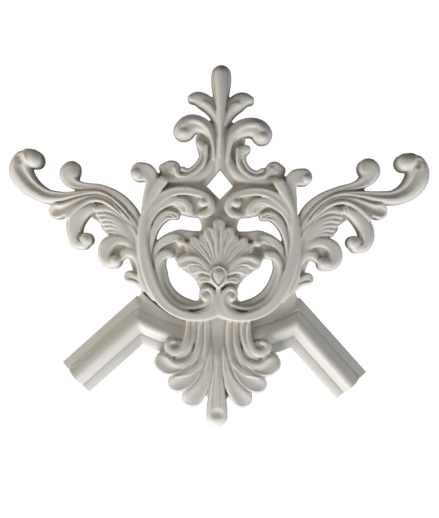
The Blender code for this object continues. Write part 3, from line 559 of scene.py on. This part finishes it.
def relaxed(points, edges, share, rounds):
    """Points moved a share of the way to the mean of their neighbours, several times."""
    ends = np.concatenate([edges, edges[:, ::-1]])
    count = np.bincount(ends[:, 0], minlength=len(points))[:, None]
    for _ in range(rounds):
        total = [np.bincount(ends[:, 0], points[ends[:, 1], i], len(points)) for i in range(3)]
        points = points + share * (np.stack(total, axis=1) / count - points)
    return points


def chase_skin(points, normals):
    """Presses the noted lines into the points that face the front."""
    drawn = points[:, (0, 2)] / MM
    facing = np.clip(-normals[:, 1] * FACING_GAIN, 0, 1)
    for depth, half, taper, run in chased:
        low, high = run.min(0) - half, run.max(0) + half
        near = np.flatnonzero(((drawn > low) & (drawn < high)).all(1) & (facing > 0))
        if not len(near):
            continue
        lengths = np.linalg.norm(np.diff(run, axis=0), axis=1)
        starts = np.concatenate([[0], np.cumsum(lengths)])
        best = np.full(len(near), half)
        where = np.zeros(len(near))
        for i, length in enumerate(lengths):
            way = (run[i + 1] - run[i]) / length
            rest = drawn[near] - run[i]
            along = np.clip(rest @ way, 0, length)
            gap = np.linalg.norm(rest - along[:, None] * way, axis=1)
            closer = gap < best
            best[closer] = gap[closer]
            where[closer] = starts[i] + along[closer]
        from_end = np.minimum(where, starts[-1] - where)
        fade = np.clip(from_end / (taper * half), LEAST_FADE, 1) if taper else 1
        press = depth * fade * (1 - (best / half) ** 2) ** 2
        points[near, 1] += press * facing[near] * MM


body = mesh_object("clay", clay)
melt = body.modifiers.new("Melt", "REMESH")
melt.mode = "VOXEL"
melt.voxel_size = SKIN_STEP
skin = settled(body)
points = read_points(skin)
normals = read_points(skin, normals=True)
edges = np.empty(len(skin.edges) * 2, int)
skin.edges.foreach_get("vertices", edges)
edges = edges.reshape(-1, 2)
points = relaxed(points, edges, SOFTEN, WASH_ROUNDS)
chase_skin(points, normals)
for _ in range(SMOOTHINGS):
    points = relaxed(points, edges, SOFTEN, 1)
    points = relaxed(points, edges, FIRM, 1)
skin.vertices.foreach_set("co", points.ravel())
skin.update()

# How far each point lies behind the skin around it, for painted shade and roughness in the hollows
behind = relaxed(points, edges, SOFTEN, RECESS_ROUNDS) - points
recess = (behind * read_points(skin, normals=True)).sum(1) / MM
hollows = KDTree(len(points))
for i, point in enumerate(points):
    hollows.insert(point, i)
hollows.balance()

body.modifiers.clear()
old_clay = body.data
body.data = skin
bpy.data.meshes.remove(old_clay)
thin = body.modifiers.new("Thin", "DECIMATE")
thin.ratio = SKIN_TRIANGLES / (2 * len(skin.polygons))

# The diamond goes right through below the finial, and its edges stay crisp
gap_work = bmesh.new()
corners = ((0, GAP_TOP), (GAP_HALF_WIDTH, GAP_MIDDLE), (0, GAP_BOTTOM), (-GAP_HALF_WIDTH, GAP_MIDDLE))
loft(gap_work, [[(x * MM, y, z * MM) for x, z in corners] for y in (-0.1, 0.1)])
gap_cutter = mesh_object("gap cutter", gap_work)
wall_work = bmesh.new()
bmesh.ops.create_cube(wall_work, size=1.0)
bmesh.ops.translate(wall_work, verts=wall_work.verts, vec=(0, 0.5, 0))
wall_cutter = mesh_object("wall cutter", wall_work)

# At the lower left, a thin slot is left between the ring and the moulding
slot_work = bmesh.new()
rings = []
for x, z, half in smooth([(-50, 13.6, 0.3), (-60, 18.9, 1.0), (-69, 24.6, 1.3), (-78, 31.6, 1.4),
                          (-86, 38.4, 1.5), (-94, 46, 1.6)], 3):
    ring = []
    for side, height in ((-1, SLOT_FLOOR), (1, SLOT_FLOOR), (1, SLOT_TOP), (-1, SLOT_TOP)):
        ring.append(((x + 0.6 * half * side) * MM, -height * MM, (z + 0.8 * half * side) * MM))
    rings.append(ring)
loft(slot_work, rings)
slot_cutter = mesh_object("slot cutter", slot_work)

for tool, operation in ((moulding, "UNION"), (gap_cutter, "DIFFERENCE"), (slot_cutter, "DIFFERENCE"),
                        (wall_cutter, "DIFFERENCE")):
    join = body.modifiers.new(tool.name, "BOOLEAN")
    join.solver = "MANIFOLD"
    join.operation = operation
    join.object = tool
casting = bpy.data.objects.new("casting", settled(body))
bpy.context.scene.collection.objects.link(casting)
for spent in (body, moulding, gap_cutter, slot_cutter, wall_cutter):
    bpy.data.objects.remove(spent)
casting.data.shade_smooth()
casting.data.set_sharp_from_angle(angle=math.radians(SHARP_ANGLE))
depths = casting.data.attributes.new("recess", "FLOAT", "POINT")
nearest = [hollows.find(vertex.co) for vertex in casting.data.vertices]
depths.data.foreach_set("value", [recess[i] if gap < SKIN_STEP else 0 for _, i, gap in nearest])
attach(casting, "root")
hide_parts("corner_moulding")

# The finish: a satin white primer sprayed on at the factory. Painted shade makes it darker and warmer
# in the hollows and darker on the steep sides, and a painted highlight makes it whiter on the edges.
# It has the faint orange peel of sprayed paint.


class Wire:
    """A socket of the finish's nodes, on which plain arithmetic adds Math nodes."""

    def __init__(self, tree, socket):
        self.tree = tree
        self.socket = socket

    def node(self, kind, out=0, settings=None, **values):
        """Adds a node with those settings and socket values or links, and gives one output of it."""
        made = self.tree.nodes.new(kind)
        for name, value in (settings or {}).items():
            setattr(made, name, value)
        for name, value in values.items():
            place = int(name[1:]) if name[0] == "_" else name.replace("_", " ")
            if isinstance(value, Wire):
                self.tree.links.new(value.socket, made.inputs[place])
            else:
                made.inputs[place].default_value = value
        return Wire(self.tree, made.outputs[out])

    def sum_of(self, operation, first, second):
        return self.node("ShaderNodeMath", settings={"operation": operation}, _0=first, _1=second)

    def __add__(self, other):
        return self.sum_of("ADD", self, other)

    def __radd__(self, other):
        return self.sum_of("ADD", other, self)

    def __sub__(self, other):
        return self.sum_of("SUBTRACT", self, other)

    def __rsub__(self, other):
        return self.sum_of("SUBTRACT", other, self)

    def __mul__(self, other):
        return self.sum_of("MULTIPLY", self, other)

    def __rmul__(self, other):
        return self.sum_of("MULTIPLY", other, self)

    def mixed(self, low, high):
        """A colour between two others, where this value is the share of the second."""
        return self.node("ShaderNodeMix", out=2, settings={"data_type": "RGBA"}, _0=self, _6=low, _7=high)


primer = bpy.data.materials.new("primed foam")
primer.use_nodes = True
tree = primer.node_tree
shader = tree.nodes["Principled BSDF"]
start = Wire(tree, None)
place = start.node("ShaderNodeTexCoord", out="Object")
depth = start.node("ShaderNodeAttribute", out="Fac", settings={"attribute_name": "recess"})
hollow = start.node("ShaderNodeMapRange", Value=depth, From_Min=0.0, From_Max=1.0)
edge = start.node("ShaderNodeMapRange", Value=depth, From_Min=-0.2, From_Max=-1.2)
cloud = start.node("ShaderNodeTexNoise", Vector=place, Scale=14.0, Detail=3.0, Roughness=0.5)
fleck = start.node("ShaderNodeTexNoise", Vector=place, Scale=260.0, Detail=2.0, Roughness=0.6)
peel = start.node("ShaderNodeTexNoise", Vector=place, Scale=420.0, Detail=2.0, Roughness=0.5)
white = (cloud * 1.4 - 0.2).mixed((0.77, 0.765, 0.745, 1), (0.81, 0.80, 0.775, 1))
# Painted shade: the hollows are mixed towards a darker, warm tan.
painted_hollow_shade = (hollow * (0.5 + cloud * 0.6)).mixed(white, (0.62, 0.53, 0.40, 1))
# Painted highlight: convex edges are mixed towards a brighter white; the flecks are random tone.
edge_highlight_and_fleck = (edge * 0.25 + fleck * 0.08).mixed(painted_hollow_shade, (0.93, 0.925, 0.91, 1))
face = start.node("ShaderNodeNewGeometry", out="Normal")
# Painted shade: faces turned sideways from the front are mixed towards a darker grey.
steep_side_shade = start.node("ShaderNodeMapRange", Value=face.node("ShaderNodeSeparateXYZ", out="Y", Vector=face),
                   From_Min=-0.55, From_Max=-0.05)
colour = (steep_side_shade * 0.75).mixed(edge_highlight_and_fleck, (0.47, 0.44, 0.38, 1))
tree.links.new(colour.socket, shader.inputs["Base Color"])
dullness = 0.33 + cloud * 0.08 + fleck * 0.06 + hollow * 0.10 - edge * 0.04
tree.links.new(dullness.socket, shader.inputs["Roughness"])
skin_bump = start.node("ShaderNodeBump", Height=peel * 0.7 + fleck * 0.3, Strength=0.10, Distance=0.0004)
tree.links.new(skin_bump.socket, shader.inputs["Normal"])
shader.inputs["Specular IOR Level"].default_value = 0.5
shader.inputs["Metallic"].default_value = 0.0
casting.data.materials.clear()
casting.data.materials.append(primer)

# The studio: a pale floor well below the ornament, a white surround that is brightest from below, a
# large soft lamp low at the front left and a small one on either side. The camera looks square at the
# wall plane.
FLOOR_DROP = 0.40
CAMERA_REACH = 1.1
CAMERA_SIDE = 0.00074
CAMERA_HEIGHT = 0.0888
LOOKED_AT_DEPTH = 0.012
LAMPS_FACE = (0, 0, 0.1)
PHOTO_WIDTH = 439
METRES_PER_PIXEL = 0.00125
CAMERA_ROLL = -0.73

floor_work = bmesh.new()
bmesh.ops.create_grid(floor_work, x_segments=1, y_segments=1, size=0.5)
floor = mesh_object("floor", floor_work)
floor.location = (0, 0, -FLOOR_DROP)
pale = bpy.data.materials.new("pale floor")
pale.use_nodes = True
slab = pale.node_tree.nodes["Principled BSDF"]
slab.inputs["Base Color"].default_value = (0.86, 0.86, 0.85, 1)
slab.inputs["Roughness"].default_value = 0.8
slab.inputs["Emission Color"].default_value = (1.0, 0.99, 0.97, 1)
slab.inputs["Emission Strength"].default_value = 0.5
floor.data.materials.append(pale)
floor.visible_shadow = False
floor.visible_diffuse = False

world = bpy.data.worlds.new("surround")
bpy.context.scene.world = world
world.use_nodes = True
sky = world.node_tree
sky.nodes.clear()
spot = Wire(sky, None)
way = spot.node("ShaderNodeTexCoord", out="Generated")
height = spot.node("ShaderNodeSeparateXYZ", out="Z", Vector=way)
lift = spot.node("ShaderNodeMapRange", Value=height, From_Min=0.8, From_Max=-0.8, To_Min=0.05, To_Max=0.19)
seen = spot.node("ShaderNodeLightPath", out="Is Camera Ray")
power = lift * (1 - seen) + seen * 1.05
tint = seen.mixed((1.0, 0.945, 0.84, 1), (1.0, 1.0, 1.0, 1))
glow = spot.node("ShaderNodeBackground", Color=tint, Strength=power)
ground = sky.nodes.new("ShaderNodeOutputWorld")
sky.links.new(glow.socket, ground.inputs["Surface"])


def lamp(name, place, size, watts, tint):
    """A soft square lamp that faces the middle of the ornament."""
    made = bpy.data.lights.new(name, "AREA")
    made.shape = "SQUARE"
    made.size = size
    made.energy = watts
    made.color = tint
    stand = bpy.data.objects.new(name, made)
    stand.location = place
    stand.rotation_euler = (Vector(LAMPS_FACE) - Vector(place)).to_track_quat("-Z", "Y").to_euler()
    bpy.context.scene.collection.objects.link(stand)
    stand.visible_camera = False


lamp("low key", (-0.38, -0.42, -0.95), 0.8, 12.0, (1.0, 0.995, 0.98))
lamp("right fill", (0.80, -0.30, -0.25), 0.5, 2.9, (0.98, 0.99, 1.0))
lamp("left fill", (-0.78, -0.36, 0.26), 0.5, 2.4, (1.0, 0.92, 0.78))

view = bpy.data.cameras.new("camera")
view.sensor_fit = "HORIZONTAL"
view.lens = view.sensor_width * CAMERA_REACH / (PHOTO_WIDTH * METRES_PER_PIXEL)
camera = bpy.data.objects.new("camera", view)
camera.location = (CAMERA_SIDE, -LOOKED_AT_DEPTH - CAMERA_REACH, CAMERA_HEIGHT)
camera.rotation_euler = (math.radians(90), math.radians(CAMERA_ROLL), 0)
bpy.context.scene.collection.objects.link(camera)
bpy.context.scene.camera = camera
bpy.context.scene.view_settings.view_transform = "Standard"
